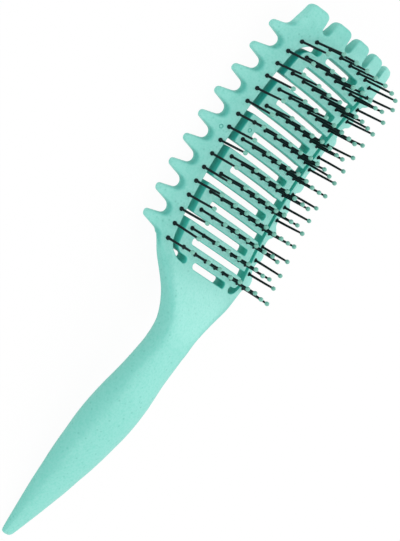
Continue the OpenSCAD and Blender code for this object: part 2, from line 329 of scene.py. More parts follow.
floor_finish, tree = new_material("pale_floor")
sheet = add_node(tree, "ShaderNodeBsdfDiffuse", {"Color": FLOOR_WHITE, "Roughness": 0})
own_white = add_node(tree, "ShaderNodeEmission", {"Color": WHITE, "Strength": 1})
rays = add_node(tree, "ShaderNodeLightPath")
seen = add_node(tree, "ShaderNodeMath", operation="MAXIMUM")
seen_too = add_node(tree, "ShaderNodeMath", operation="MAXIMUM")
share = add_node(tree, "ShaderNodeMath", {1: OWN_WHITE_SHARE}, operation="MULTIPLY")
blend = add_node(tree, "ShaderNodeMixShader")
output = add_node(tree, "ShaderNodeOutputMaterial")
join(tree, rays.outputs["Is Camera Ray"], seen.inputs[0])
join(tree, rays.outputs["Is Glossy Ray"], seen.inputs[1])
join(tree, seen.outputs[0], seen_too.inputs[0])
join(tree, rays.outputs["Is Transmission Ray"], seen_too.inputs[1])
join(tree, seen_too.outputs[0], share.inputs[0])
join(tree, share.outputs[0], blend.inputs[0])
join(tree, sheet.outputs[0], blend.inputs[1])
join(tree, own_white.outputs[0], blend.inputs[2])
join(tree, blend.outputs[0], output.inputs["Surface"])
print("nodes in the floor's finish:", len(tree.nodes))

# %% Floor
FLOOR_SIZE, FLOOR_DROP = 6.0, 0.0002

bm = bmesh.new()
bmesh.ops.create_grid(bm, x_segments=1, y_segments=1, size=FLOOR_SIZE / 2)
floor_mesh = bpy.data.meshes.new("floor")
bm.to_mesh(floor_mesh)
bm.free()
floor_mesh.materials.append(floor_finish)
floor = bpy.data.objects.new("floor", floor_mesh)
bpy.context.scene.collection.objects.link(floor)
floor.location.z = -FLOOR_DROP
print("floor", FLOOR_SIZE, "m wide,", FLOOR_DROP / MM, "mm under the brush")

# %% [markdown]
# The light of the picture comes softly from above and from the right edge of the brush, so
# the walls that face the camera lie in the shade. A picture of a studio could light it, but
# lamps can be set one by one. A large one overhead and a softer one to the right do the
# work, a weak one on the left lifts the flank of the handle, and the sky fills the rest
# with an even light. The Standard view shows each colour about as it is written.

# %% Sky
SKY_LEVEL = 0.93

bpy.context.scene.view_settings.view_transform = "Standard"
world = bpy.data.worlds.new("studio")
bpy.context.scene.world = world
world.use_nodes = True
tree = world.node_tree
tree.nodes.clear()
even_sky = add_node(tree, "ShaderNodeBackground", {"Color": WHITE, "Strength": SKY_LEVEL})
white_sky = add_node(tree, "ShaderNodeBackground", {"Color": WHITE, "Strength": 1})
rays = add_node(tree, "ShaderNodeLightPath")
blend = add_node(tree, "ShaderNodeMixShader")
output = add_node(tree, "ShaderNodeOutputWorld")
join(tree, rays.outputs["Is Camera Ray"], blend.inputs[0])
join(tree, even_sky.outputs[0], blend.inputs[1])
join(tree, white_sky.outputs[0], blend.inputs[2])
join(tree, blend.outputs[0], output.inputs["Surface"])
print("sky at", SKY_LEVEL, "of white")

# %% Lamps
HEAD_CENTRE, GRIP_CENTRE = (0.055, 0, 0.02), (-0.05, 0, 0.02)


def add_lamp(name, place, aim, size, watts):
    data = bpy.data.lights.new(name, "AREA")
    data.shape, data.size, data.energy = "DISK", size, watts
    lamp = bpy.data.objects.new(name, data)
    lamp.location = place
    lamp.rotation_euler = (Vector(aim) - Vector(place)).to_track_quat("-Z", "Y").to_euler()
    bpy.context.scene.collection.objects.link(lamp)


add_lamp("overhead", place=(0.42, -0.20, 1.3), aim=HEAD_CENTRE, size=0.9, watts=2.2)
add_lamp("right_side", place=(0.38, -0.92, 0.80), aim=HEAD_CENTRE, size=0.8, watts=3.4)
add_lamp("left_fill", place=(-0.55, 0.85, 0.45), aim=GRIP_CENTRE, size=0.9, watts=1.6)

# %% [markdown]
# The moulding is a mint plastic with a satin skin. Close up it shows a slow change of tone
# where the melt flowed, a faint mottle, small darker flecks and a very fine grain. A
# painted picture could show them, but it would need a map and would blur close up. So each
# is a pattern of nodes, in cells to the metre. All read Object coordinates, so they stay on
# the part wherever it goes.

# %% Start of the mint plastic
MINT, MINT_DEEP = (0.252, 0.668, 0.595, 1), (0.222, 0.630, 0.550, 1)
MOTTLE, FLECK = (0.150, 0.590, 0.490, 1), (0.060, 0.380, 0.310, 1)
FLOW_CELLS, MOTTLE_CELLS, FLECK_CELLS, GRAIN_CELLS = 45, 1100, 560, 2600

mint_plastic, tree = new_material("mint_plastic")
place = add_node(tree, "ShaderNodeTexCoord")
flow = add_node(tree, "ShaderNodeTexNoise", {"Scale": FLOW_CELLS, "Detail": 3, "Roughness": 0.5})
fine = add_node(tree, "ShaderNodeTexNoise", {"Scale": MOTTLE_CELLS, "Detail": 3, "Roughness": 0.65})
cells = add_node(tree, "ShaderNodeTexVoronoi", {"Scale": FLECK_CELLS, "Randomness": 1}, feature="F1")
grain = add_node(tree, "ShaderNodeTexNoise", {"Scale": GRAIN_CELLS, "Detail": 2, "Roughness": 0.6})
for texture in (flow, fine, cells, grain):
    join(tree, place.outputs["Object"], texture.inputs["Vector"])
print("flecks lie in cells", round(1 / FLECK_CELLS / MM, 1), "mm wide")

# %% Tone and mottle
tone = add_mix(tree, MINT, MINT_DEEP)
grains = add_node(tree, "ShaderNodeMapRange", {"From Min": 0.42, "From Max": 0.72, "To Max": 0.8})
mottled = add_mix(tree, b=MOTTLE)
join(tree, flow.outputs["Fac"], tone.inputs["Factor"])
join(tree, fine.outputs["Fac"], grains.inputs["Value"])
join(tree, grains.outputs["Result"], mottled.inputs["Factor"])
join(tree, tone.outputs["Result"], mottled.inputs["A"])
print("nodes for tone and mottle:", len(tree.nodes))

# %% Flecks
# A fleck is the core of a cell, and the cell's own colour says how dark it is, if at all.
core = add_node(tree, "ShaderNodeMapRange", {"From Min": 0.08, "From Max": 0.33, "To Min": 1, "To Max": 0})
pick = add_node(tree, "ShaderNodeSeparateColor")
rare = add_node(tree, "ShaderNodeMapRange", {"From Min": 0.45, "From Max": 1, "To Max": 0.55})
fleck = add_node(tree, "ShaderNodeMath", operation="MULTIPLY")
flecked = add_mix(tree, b=FLECK)
join(tree, cells.outputs["Distance"], core.inputs["Value"])
join(tree, cells.outputs["Color"], pick.inputs[0])
join(tree, pick.outputs[0], rare.inputs["Value"])
join(tree, core.outputs["Result"], fleck.inputs[0])
join(tree, rare.outputs["Result"], fleck.inputs[1])
join(tree, fleck.outputs[0], flecked.inputs["Factor"])
join(tree, mottled.outputs["Result"], flecked.inputs["A"])
print("nodes with the flecks:", len(tree.nodes))

# %% [markdown]
# The walls of the slots look deep green on the real brush, because they lie in shade and
# their light has bounced between green walls. Real light could give this, but it is slow and
# noisy in ribs so thin, and the exported model would lose it. So the shade is painted: two
# numbers are kept at each point of the mesh. The first says how much of the painted deep green
# shade is seen, the second how far it turns to a lighter green. A wall has less shine than the skin.

# %% Walls with painted shade, shine and grain
# Two greens of painted shade: a deep one, and a lighter one for the less shaded walls.
DEEP_SHADE, LIGHT_SHADE = (0.020, 0.345, 0.290, 1), (0.105, 0.660, 0.555, 1)

painted_shade = add_node(tree, "ShaderNodeAttribute", attribute_name="painted_shade")
shade_softening = add_node(tree, "ShaderNodeAttribute", attribute_name="shade_softening")
# The painted shade is the deep green turned lighter by the second number, laid over the skin by the first.
deep = add_mix(tree, DEEP_SHADE, LIGHT_SHADE)
shaded = add_mix(tree)
sheen = add_node(tree, "ShaderNodeMapRange", {"To Min": 0.40, "To Max": 0.54})
matt = add_node(tree, "ShaderNodeMapRange", {"From Max": 0.9, "To Min": 0.85, "To Max": 0.08})
spark = add_node(tree, "ShaderNodeBump", {"Strength": 0.12, "Distance": 0.00008})
shader = add_node(tree, "ShaderNodeBsdfPrincipled", {"IOR": 1.49})
output = add_node(tree, "ShaderNodeOutputMaterial")
join(tree, shade_softening.outputs["Fac"], deep.inputs["Factor"])
join(tree, painted_shade.outputs["Fac"], shaded.inputs["Factor"])
join(tree, flecked.outputs["Result"], shaded.inputs["A"])
join(tree, deep.outputs["Result"], shaded.inputs["B"])
join(tree, shaded.outputs["Result"], shader.inputs["Base Color"])
join(tree, flow.outputs["Fac"], sheen.inputs["Value"])
join(tree, sheen.outputs["Result"], shader.inputs["Roughness"])
join(tree, painted_shade.outputs["Fac"], matt.inputs["Value"])
join(tree, matt.outputs["Result"], shader.inputs["Specular IOR Level"])
join(tree, grain.outputs["Fac"], spark.inputs["Height"])
join(tree, spark.outputs["Normal"], shader.inputs["Normal"])
join(tree, shader.outputs[0], output.inputs["Surface"])
print("nodes in the mint plastic:", len(tree.nodes))

# %% [markdown]
# The pins are drawn nylon, almost black with a soft shine. The balls are drops of mint
# resin, glossier than the moulding and slightly clear. Each could be a plain colour, but
# even small pieces differ a little from place to place. One fine noise is enough for that,
# because it can change the tone, the roughness and the height together.

# %% Nylon and resin
NYLON, NYLON_WORN = (0.002, 0.006, 0.007, 1), (0.006, 0.014, 0.015, 1)
RESIN, RESIN_DEEP = (0.27, 0.66, 0.54, 1), (0.18, 0.55, 0.44, 1)
NYLON_CELLS, RESIN_CELLS, BUMP_HEIGHT = 900, 700, 0.00005


def one_noise_finish(name, noise_cells, tones, roughness, bump, shader_values):
    material, tree = new_material(name)
    place = add_node(tree, "ShaderNodeTexCoord")
    noise = add_node(tree, "ShaderNodeTexNoise", {"Scale": noise_cells, "Detail": 2})
    tone = add_mix(tree, *tones)
    sheen = add_node(tree, "ShaderNodeMapRange", {"To Min": roughness[0], "To Max": roughness[1]})
    ripple = add_node(tree, "ShaderNodeBump", {"Strength": bump, "Distance": BUMP_HEIGHT})
    shader = add_node(tree, "ShaderNodeBsdfPrincipled", shader_values)
    output = add_node(tree, "ShaderNodeOutputMaterial")
    join(tree, place.outputs["Object"], noise.inputs["Vector"])
    join(tree, noise.outputs["Fac"], tone.inputs["Factor"])
    join(tree, tone.outputs["Result"], shader.inputs["Base Color"])
    join(tree, noise.outputs["Fac"], sheen.inputs["Value"])
    join(tree, sheen.outputs["Result"], shader.inputs["Roughness"])
    join(tree, noise.outputs["Fac"], ripple.inputs["Height"])
    join(tree, ripple.outputs["Normal"], shader.inputs["Normal"])
    join(tree, shader.outputs[0], output.inputs["Surface"])
    return material


black_nylon = one_noise_finish("black_nylon", NYLON_CELLS, (NYLON, NYLON_WORN), (0.34, 0.55), 0.2,
                               {"IOR": 1.53, "Specular IOR Level": 0.12})
mint_resin = one_noise_finish("mint_resin", RESIN_CELLS, (RESIN, RESIN_DEEP), (0.18, 0.34), 0.15,
                              {"IOR": 1.5, "Transmission Weight": 0.25})
print("finishes:", [m.name for m in (mint_plastic, black_nylon, mint_resin)])

# %% [markdown]
# Each piece is drawn in millimetres. One helper then moves it to the ground, shades it
# smoothly with its real edges kept sharp, and hangs it on the body of the brush. The move
# could be left on the object, but patterns on Object coordinates would slide with it, so
# the piece's place is put into its mesh.

# %% From a bmesh to a piece of the brush
SHARP_FROM, PIN_SHARP_FROM, BALL_SHARP_FROM = 40, 50, 80


def finish_piece(bm, name, finish, nodes, sharp_from):
    bmesh.ops.transform(bm, matrix=TO_GROUND, verts=bm.verts)
    mesh = bpy.data.meshes.new(name)
    bm.to_mesh(mesh)
    bm.free()
    mesh.shade_smooth()
    mesh.set_sharp_from_angle(angle=math.radians(sharp_from))
    mesh.materials.append(finish)
    piece = bpy.data.objects.new(name, mesh)
    bpy.context.scene.collection.objects.link(piece)
    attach(piece, "root")
    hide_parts(*nodes)
    print(name, "has", len(mesh.polygons), "faces")
    return piece


print("edges from", SHARP_FROM, "degrees stay sharp on the moulding")

# %% [markdown]
# The head is a thick plate with upright walls and softly rounded edges. It could be a box
# with its slots cut out by Booleans and its edges bevelled, but a bevel fails where so many
# curves meet. So it starts from one plan: lines with rounded corners, whose points each
# know which way leads out of the plastic. Later an edge only has to follow that way.

# %% A closed line with rounded corners
CORNER_STEP = math.radians(15)
LINE_STEP, SAME_PLACE = 1.6, 0.01


def out_of(way):
    """Out of the plastic, which is on the left of the way."""
    return Vector((way.y, -way.x))


def rounded_line(corners):
    """(point, out) along a closed line. A corner is (x, y, radius)."""
    line = []
    for i, (x, y, radius) in enumerate(corners):
        here = Vector((x, y))
        way_in = (here - Vector(corners[i - 1][:2])).normalized()
        way_out = (Vector(corners[(i + 1) % len(corners)][:2]) - here).normalized()
        turn = math.atan2(way_in.cross(way_out), way_in.dot(way_out))
        if not radius:
            line.append((here, (out_of(way_in) + out_of(way_out)).normalized()))
            continue
        side = radius if turn > 0 else -radius
        start = here - way_in * radius * math.tan(abs(turn) / 2)
        centre = start - out_of(way_in) * side
        steps = max(2, math.ceil(abs(turn) / CORNER_STEP))
        for k in range(steps + 1):
            out = Matrix.Rotation(turn * k / steps, 2) @ out_of(way_in)
            line.append((centre + out * side, out))
    return line


def stepped(line):
    """The same line with points added along its long straights."""
    full = []
    for (p, out_p), (q, out_q) in zip(line, line[1:] + line[:1]):
        length = (q - p).length
        steps = math.ceil(length / LINE_STEP) if length > SAME_PLACE else 0
        full += [(p.lerp(q, k / steps), out_p.lerp(out_q, k / steps).normalized())
                 for k in range(steps)]
    return full


print("a square corner has", round(math.radians(90) / CORNER_STEP), "steps")

# %% [markdown]
# The outline starts at the tip of the handle, runs up the right flank, over nine teeth,
# round the fingers and back down the left. The teeth draw the hair in. They could be a sine
# wave, but the real ones have round tips and round valleys with straight flanks between. So
# a tooth is drawn by its two sharp corners, and a radius at each makes the wave. The corners
# lie as far out as the radii need to reach the real tip and the real floor.

# %% Corners of the teeth
TOOTH_TIP_R, VALLEY_R = 1.75, 2.65


def tooth_corners():
    """How far out the sharp corners of a tooth and of a valley lie."""
    valley = Vector((TOOTH_PITCH / 2, VALLEY_Y + VALLEY_R))
    tip = Vector((0, TOOTH_TIP_Y - TOOTH_TIP_R))
    between = valley - tip
    touch = math.atan2(between.y, between.x) + math.acos((TOOTH_TIP_R + VALLEY_R) / between.length)
    apex = tip.y + TOOTH_TIP_R / math.sin(touch)
    root = valley.y - VALLEY_R / math.sin(touch)
    return apex, root


APEX_Y, ROOT_Y = tooth_corners()


def flank_x(valley, y, side):
    """Where the flank that rises from a valley passes y. Side 1 is its head side."""
    rise = side * (y - ROOT_Y) * TOOTH_PITCH / 2 / (APEX_Y - ROOT_Y)
    return VALLEY_LOW_X + valley * TOOTH_PITCH + rise


def meeting(p, q, r, s):
    """Where the line through p and q meets the line through r and s."""
    found = geometry.intersect_line_line(*[Vector((*v, 0)) for v in (p, q, r, s)])[0]
    return found.x, found.y


print("tooth corners at", round(APEX_Y, 2), "and", round(ROOT_Y, 2), "mm")

# %% Right edge, from the handle to the last valley
# The tip of the handle and the teeth keep a hair's breadth inside the box of the solids.
HANDLE_TIP_R, TIP_INSET, APEX_INSET = 2.1, 0.05, 0.01
FLANK_POINTS, FLANK_START_X, FLANK_END_X = 60, TIP_X + 1.6 * HANDLE_TIP_R, SHOULDER_X - 1.6
YOKE_END_X, CORNER_FLARE = SHOULDER_X - 2, 1.5


def handle_flank():
    corners = [(TIP_X + TIP_INSET, -half_width(TIP_X), HANDLE_TIP_R)]
    for k in range(FLANK_POINTS + 1):
        x = FLANK_START_X + (FLANK_END_X - FLANK_START_X) * k / FLANK_POINTS
        corners.append((x, -half_width(x), 0))
    return corners


def first_valley():
    """The corner where the yoke's flank meets the first tooth."""
    yoke = [(YOKE_END_X, half_width(YOKE_END_X)), (SHOULDER_X, SHOULDER_Y)]
    flank = [(flank_x(0, y, 1), y) for y in (VALLEY_Y, TOOTH_TIP_Y)]
    x, y = meeting(*yoke, *flank)
    return x, -y, VALLEY_R


def toothed_edge():
    """Teeth and the valleys between them, and the flared valley at the fingers."""
    corners = []
    for t in range(EDGE_TEETH):
        if t:
            corners.append((VALLEY_LOW_X + t * TOOTH_PITCH, -ROOT_Y, VALLEY_R))
        corners.append((VALLEY_LOW_X + (t + 0.5) * TOOTH_PITCH, APEX_INSET - APEX_Y, TOOTH_TIP_R))
    corners.append((flank_x(EDGE_TEETH, VALLEY_Y + CORNER_FLARE, -1), -VALLEY_Y - CORNER_FLARE, VALLEY_R))
    return corners


right_edge = handle_flank() + [first_valley()] + toothed_edge()
print("right edge has", len(right_edge), "corners")

# %% [markdown]
# Five stubby fingers close the head. They could be one shape copied five times, but their
# gaps are what shows: each has a round floor and opens a little towards its mouth. So the
# line is drawn through the gaps, and the fingers are what is left between them. Only the
# right half is drawn. The left half is its mirror image, so the two can't differ.

# %% Fingers and the whole outline
FINGERS, FINGER_PITCH, FINGER_W, FINGER_R = 5, 12.9, 8.8, 2.3
FINGER_GAP_R, GAP_TAPER, FLOOR_ROUND, CORNER_OUT = (FINGER_PITCH - FINGER_W) / 2, 0.45, 0.95, 0.4
GAP_MOUTH, GAP_FLOOR = FINGER_GAP_R + GAP_TAPER / 2, FINGER_GAP_R - GAP_TAPER
FINGER_GAPS = [(g - (FINGERS - 2) / 2) * FINGER_PITCH for g in range(FINGERS - 1)]


def right_fingers():
    """Corners round the fingers, up to the near edge of the middle one."""
    corners = [(FINGER_TIP_X, -VALLEY_Y - CORNER_OUT, FINGER_R)]
    for y in FINGER_GAPS[:len(FINGER_GAPS) // 2]:
        corners += [(FINGER_TIP_X, y - GAP_MOUTH, FINGER_R),
                    (GAP_FLOOR_X, y - GAP_FLOOR, FLOOR_ROUND * GAP_FLOOR),
                    (GAP_FLOOR_X, y + GAP_FLOOR, FLOOR_ROUND * GAP_FLOOR),
                    (FINGER_TIP_X, y + GAP_MOUTH, FINGER_R)]
    return corners


right_side = right_edge + right_fingers()
left_side = [(x, -y, r) for x, y, r in reversed(right_side)]
outline = stepped(rounded_line(right_side + left_side))
print("outline has", len(outline), "points")

# %% [markdown]
# The slots let air through and let the head flex. They could be cut one by one, but they
# form two combs: a lengthwise gap with a hook at each end, and every second slot running
# out of it across the head. The combs interlock, so the panel between them is one long
# serpentine. Only the first and the last slot stand alone. One line is drawn round each.

# %% Slots through the head
SLOT_REACH, END_SLOT_REACH, GAP_Y, HOOK_R = 15.8, 10.9, 22.6, 6.4
HOOK_INNER_R, LIP_R, SLOT_CORNER_R = 3.4, 0.7, 1.0
# A hook must end past its own bend, or its line would cross itself.
HOOK_END_Y = GAP_Y - HOOK_R - 0.56 * SLOT_W
HALF_SLOT = SLOT_W / 2


def comb(side, slots):
    """Corners of one comb, with the plastic on the left. Side 1 is the left edge."""
    hook = [(FIRST_SLOT_X + HALF_SLOT, GAP_Y + HALF_SLOT, HOOK_R + HALF_SLOT),
            (FIRST_SLOT_X + HALF_SLOT, HOOK_END_Y, HALF_SLOT),
            (FIRST_SLOT_X - HALF_SLOT, HOOK_END_Y, HALF_SLOT),
            (FIRST_SLOT_X - HALF_SLOT, GAP_Y - HALF_SLOT, HOOK_INNER_R)]
    across = []
    for x in (slot_x(i) for i in slots):
        across += [(x + HALF_SLOT, GAP_Y - HALF_SLOT, LIP_R),
                   (x + HALF_SLOT, -SLOT_REACH, SLOT_CORNER_R),
                   (x - HALF_SLOT, -SLOT_REACH, SLOT_CORNER_R),
                   (x - HALF_SLOT, GAP_Y - HALF_SLOT, LIP_R)]
    corners = hook + across + [(-x, y, r) for x, y, r in reversed(hook)]
    return corners if side > 0 else [(x, -y, r) for x, y, r in reversed(corners)]


def end_slot(x):
    return [(x - HALF_SLOT, END_SLOT_REACH, HALF_SLOT), (x + HALF_SLOT, END_SLOT_REACH, HALF_SLOT),
            (x + HALF_SLOT, -END_SLOT_REACH, HALF_SLOT), (x - HALF_SLOT, -END_SLOT_REACH, HALF_SLOT)]


vents = [stepped(rounded_line(corners)) for corners in (
    comb(1, range(2, RIB_ROWS, 2)), comb(-1, range(1, RIB_ROWS, 2)),
    end_slot(FIRST_SLOT_X), end_slot(LAST_SLOT_X))]
print("vents have", [len(v) for v in vents], "points")

# %% [markdown]
# The top of the head is a flat sheet at first. It starts inside the lines, at a distance of
# one edge radius: 1 mm along the outline, 0.65 mm at the fingers and 0.4 mm at the slots.
# One big face could fill it, but it couldn't bend. So it is filled with triangles and cut
# by a fine grid. The grid starts off the round numbers, so that no cut runs along a line.

# %% Sheet between the lines
OUTER_ROLL, FINGER_ROLL, VENT_ROLL = 1.0, 0.65, 0.4
ROLL_EASE = 4
# A little painted shade on the rolled rim of the outline.
RIM_SHADE = 0.2

bm = bmesh.new()
out_layer = bm.verts.layers.float_vector.new("out")
roll_layer = bm.verts.layers.float.new("roll")
# At each point: the share of painted shade, and how far that shade turns to the lighter green.
shade_layer = bm.verts.layers.float.new("painted_shade")
softening_layer = bm.verts.layers.float.new("shade_softening")


def add_rim(line, usual_roll):
    verts = []
    for point, out in line:
        at_fingers = smooth((point.x - FIRST_SLOT_X) / ROLL_EASE) if usual_roll == OUTER_ROLL else 0
        roll = usual_roll + (FINGER_ROLL - usual_roll) * at_fingers
        v = bm.verts.new((*(point - out * roll), 1))
        v[out_layer] = (out.x, out.y, 0)
        v[roll_layer] = roll
        v[shade_layer] = RIM_SHADE if usual_roll == OUTER_ROLL else 0
        verts.append(v)
    for a, b in zip(verts, verts[1:] + verts[:1]):
        bm.edges.new((a, b))


add_rim(outline, OUTER_ROLL)
for vent in vents:
    add_rim(vent, VENT_ROLL)
bmesh.ops.triangle_fill(bm, use_beauty=True, use_dissolve=False, normal=(0, 0, 1), edges=bm.edges[:])
print("filled area", round(sum(f.calc_area() for f in bm.faces)), "square mm in", len(bm.faces))

# %% Grid cuts
GRID_STEP, NEAR = 2.0, 1e-4
GRID_START_X, GRID_START_Y = TIP_X + 0.13, -TOOTH_TIP_Y + 0.7


def grid_cuts(low, high, normal):
    for k in range(1, int((high - low) / GRID_STEP) + 1):
        everything = bm.verts[:] + bm.edges[:] + bm.faces[:]
        bmesh.ops.bisect_plane(bm, geom=everything, dist=NEAR,
                               plane_co=normal * (low + k * GRID_STEP), plane_no=normal)


grid_cuts(GRID_START_X, HEAD_TOP_X, Vector((1, 0, 0)))
grid_cuts(GRID_START_Y, TOOTH_TIP_Y, Vector((0, 1, 0)))
bmesh.ops.triangulate(bm, faces=[f for f in bm.faces if len(f.verts) > 4])
print("sheet has", len(bm.faces), "faces")

# %% [markdown]
# Now the edges are rolled. A mould leaves them soft, and the light catches them. A Bevel
# modifier could round them, but it would also round the grid. Instead, the rim is extruded
# a few times, and each time it moves out and down along a quarter circle. The last extrude
# drops the upright wall. Each step also gets more painted shade, the nearer it is to the wall.

# %% Roll the edges
ROLL_SHARES = [0.62, 0.36, 0.16, 0.04, 0.0]


def extruded_rim():
    """The new points after one extrude of every open edge."""
    rim = [e for e in bm.edges if e.is_boundary]
    new = bmesh.ops.extrude_edge_only(bm, edges=rim)
    return [v for v in new["geom"] if isinstance(v, bmesh.types.BMVert)]


before = 1.0
for share in ROLL_SHARES:
    for v in extruded_rim():
        out = Vector(v[out_layer]).normalized()
        v.co.xy += out.xy * v[roll_layer] * (before - share)
        v.co.z = 1 - v[roll_layer] / (PLATE_T / 2) * (1 - quarter_circle(share))
        # Painted shade grows down the roll and is full on the wall.
        v[shade_layer] = max(RIM_SHADE, 1 - share)
    before = share
for v in extruded_rim():
    v.co.z = 0
    v[shade_layer] = 1
print("rolled sheet has", len(bm.faces), "faces")

# %% [markdown]
# The back of the head is made like the front, so it could be rolled in the same way. It is
# quicker and safer to mirror the front half. The two walls meet at the middle height, where
# their points are merged, so that the moulding is one closed skin.

# %% Second half, a mirror image joined at the middle
MERGE = 1e-5
bmesh.ops.mirror(bm, geom=bm.verts[:] + bm.edges[:] + bm.faces[:], merge_dist=MERGE, axis="Z")
bmesh.ops.remove_doubles(bm, verts=[v for v in bm.verts if abs(v.co.z) < NEAR], dist=MERGE)
bmesh.ops.recalc_face_normals(bm, faces=bm.faces)
print("edges that do not join cleanly:", sum(not e.is_contiguous for e in bm.edges))

# %% [markdown]
# The painted deep green shade is strongest on the walls of the two long gaps. In the slots
# across the head it turns lighter, it is weaker along the outline, and a trace of painted
# shade darkens the thin fingers and the flanks of the yoke and the handle. It could be
# painted onto the mesh by hand, but a rule for each place is even, and follows any change
# of size. Each rule is a soft step between two places.

# %% Painted shade in the slots
LOWER_HALF, LOWER_HALF_SHADE = -0.01, 0.55
GAP_SOFTENING, RIGHT_SOFTENING, END_FADE = 0.55, 0.8, 0.4
SOFTENING_START, SOFTENING_EASE = 1, 3


def in_vent(roll):
    return 0 < roll < (VENT_ROLL + FINGER_ROLL) / 2


def shade_softening_share(x, y, roll):
    """Share of the lighter painted shade: full in the cross slots, less in the gaps and at the ends."""
    if not in_vent(roll):
        return 0
    at_gap = smooth((abs(y) - SLOT_REACH - SOFTENING_START) / SOFTENING_EASE)
    to_handle = smooth((FIRST_SLOT_X - x) / (FIRST_SLOT_X - LAST_SLOT_X))
    along = GAP_SOFTENING * to_handle if y > 0 else RIGHT_SOFTENING
    at_end = smooth((abs(x) - FIRST_SLOT_X + 2 * SLOT_W) / SLOT_W)
    return (1 + (along - 1) * at_gap) * (1 - END_FADE * at_end)


softenings = [round(shade_softening_share(0, y, VENT_ROLL), 2) for y in (0, GAP_Y, -GAP_Y)]
print("glow in a slot and in the left and right gap:", softenings)

# %% Painted shade on the outline, the fingers and the flanks
OUTLINE_SHADE, FLANK_SHADE, FINGER_SHADE, CORNER_SHADE = 0.6, 0.25, 0.34, 0.1
SHADE_START, TIP_FADE = 8.0, 1.2
LIT_LEAD, LIT_EASE, LIT_Y, LIT_Y_EASE = 2, 3, 26, 2
FLANK_SHARE, FLANK_BLUR, BLUR_START = 0.82, 0.07, 0.2
FINGER_LEAD, FINGER_EASE = 1, END_BAR - 2


def wall_shading(x, y, z, roll):
    """Share of the painted deep green shade on a wall: most of it in a slot, less along the outline."""
    # The lower half of a wall is lit from below, so it gets less painted shade.
    lit_below = 1 if z > LOWER_HALF else LOWER_HALF_SHADE
    if in_vent(roll):
        return lit_below
    past_valley = smooth((x - VALLEY_TOP_X + LIT_LEAD) / LIT_EASE) * smooth((abs(y) - LIT_Y) / LIT_Y_EASE)
    to_tip = max((x - GAP_FLOOR_X) / FINGER_LEN, (abs(y) - VALLEY_Y) / (TOOTH_TIP_Y - VALLEY_Y))
    return (OUTLINE_SHADE * lit_below * (1 - smooth(TIP_FADE * to_tip)) * (1 - past_valley)
            * smooth((x - SHOULDER_X) / SHADE_START + 1))


def flank_shading(x, y):
    """A little painted shade on the flanks of the yoke and the handle, blurred more on the handle."""
    share = abs(y) / half_width(x)
    blur = FLANK_BLUR + FLANK_BLUR * smooth(thicken_t(x) - BLUR_START)
    past_shoulder = smooth((SHOULDER_X - x) / SHADE_START)
    return FLANK_SHADE * smooth((share - FLANK_SHARE) / blur + 0.5) * past_shoulder


def finger_shading(x, y):
    """A little painted shade on the thin fingers, most on the middle one."""
    to_corner = min(1.0, abs(y) / (2 * FINGER_PITCH))
    tone = FINGER_SHADE - (FINGER_SHADE - CORNER_SHADE) * to_corner**2
    return tone * smooth((x - GAP_FLOOR_X + FINGER_LEAD) / FINGER_EASE)


print("tint of the middle finger:", round(finger_shading(HEAD_TOP_X, 0), 2))

# %% [markdown]
# Now every point gets its real height, which bends the flat sheets into the moulding. The
# head keeps its rolled edge, and along the yoke it melts into the round section of the
# handle. The underside lies deeper at the panel, where the ribs are thicker, and higher at
# the tips of the fingers. The top of the neck is slightly sunk, and stays flat for longer
# than the section below, which gives the yoke the crisp line along its left side. Lattices
# or sculpting could do it. The same height rule as for the solids keeps to their sizes.

# %% Heights of the skin
ROUND_START, TIP_ROUND = 8.0, 6.0
PANEL_DEEP, FINGER_THIN = 1.2, 1.2
TOP_SINK, SINK_END = 0.14, 25.0


def under(x, y):
    """How much deeper the underside lies at the panel and the finger roots."""
    inside = 1 - smooth((abs(y) - GAP_Y + HALF_SLOT) / (VALLEY_Y - GAP_Y))
    ramp = smooth((x - LAST_SLOT_X) / ROUND_START + 1)
    to_tip = max(0.0, x - GAP_FLOOR_X) / FINGER_LEN
    return ramp * inside * PANEL_DEEP - to_tip * (FINGER_THIN + inside * PANEL_DEEP)


def head_fullness(y):
    """Share of the thickness at y in the head, alike above and below."""
    return (1 - min(1, abs(y) / TOOTH_TIP_Y) ** HEAD_ROUND) ** (1 / HEAD_ROUND)


def sunk(x):
    """Share by which the top of the yoke and the neck is sunk."""
    return TOP_SINK * smooth(yoke_t(x)) * (1 - smooth((NECK_X - x) / SINK_END))


def height(x, y, z):
    """Height of the skin where the rolled sheet has z, from 1 on top to -1 below."""
    full = fullness(x, y, z) if x < SHOULDER_X else head_fullness(y)
    kept = smooth((SHOULDER_X - x) / ROUND_START) * smooth((x - TIP_X) / TIP_ROUND)
    edge = abs(z) + (1 - abs(z)) * kept if z else 0
    sink = sunk(x) if z > 0 else 0
    thick = half_thickness(x) * full * edge * (1 - sink)
    return middle(x) - arch(x, y) + math.copysign(thick, z) + min(0, z) * under(x, y)


for v in bm.verts:
    # Each point gets its share of painted shade, and how far that shade turns lighter.
    v[softening_layer] = shade_softening_share(*v.co.xy, v[roll_layer])
    shade_on_wall = v[shade_layer] * wall_shading(*v.co, v[roll_layer])
    v[shade_layer] = max(shade_on_wall, flank_shading(*v.co.xy), finger_shading(*v.co.xy))
    v.co.z = height(*v.co)
bmesh.ops.triangulate(bm, faces=[f for f in bm.faces if len(f.verts) > 3])
body = finish_piece(bm, "moulded_body", mint_plastic, ["brush_body"], SHARP_FROM)

# %% [markdown]
# The pins stand in twelve rows of seven on the ribs, in a strip of sixteen along each edge,
# and in a last row of seven before the fingers. Their places could be read from the solids,
# but the pins of a row share one mesh there. So the rules that placed them are repeated,
# and one list for each row keeps the names of the pieces in step with the solids.

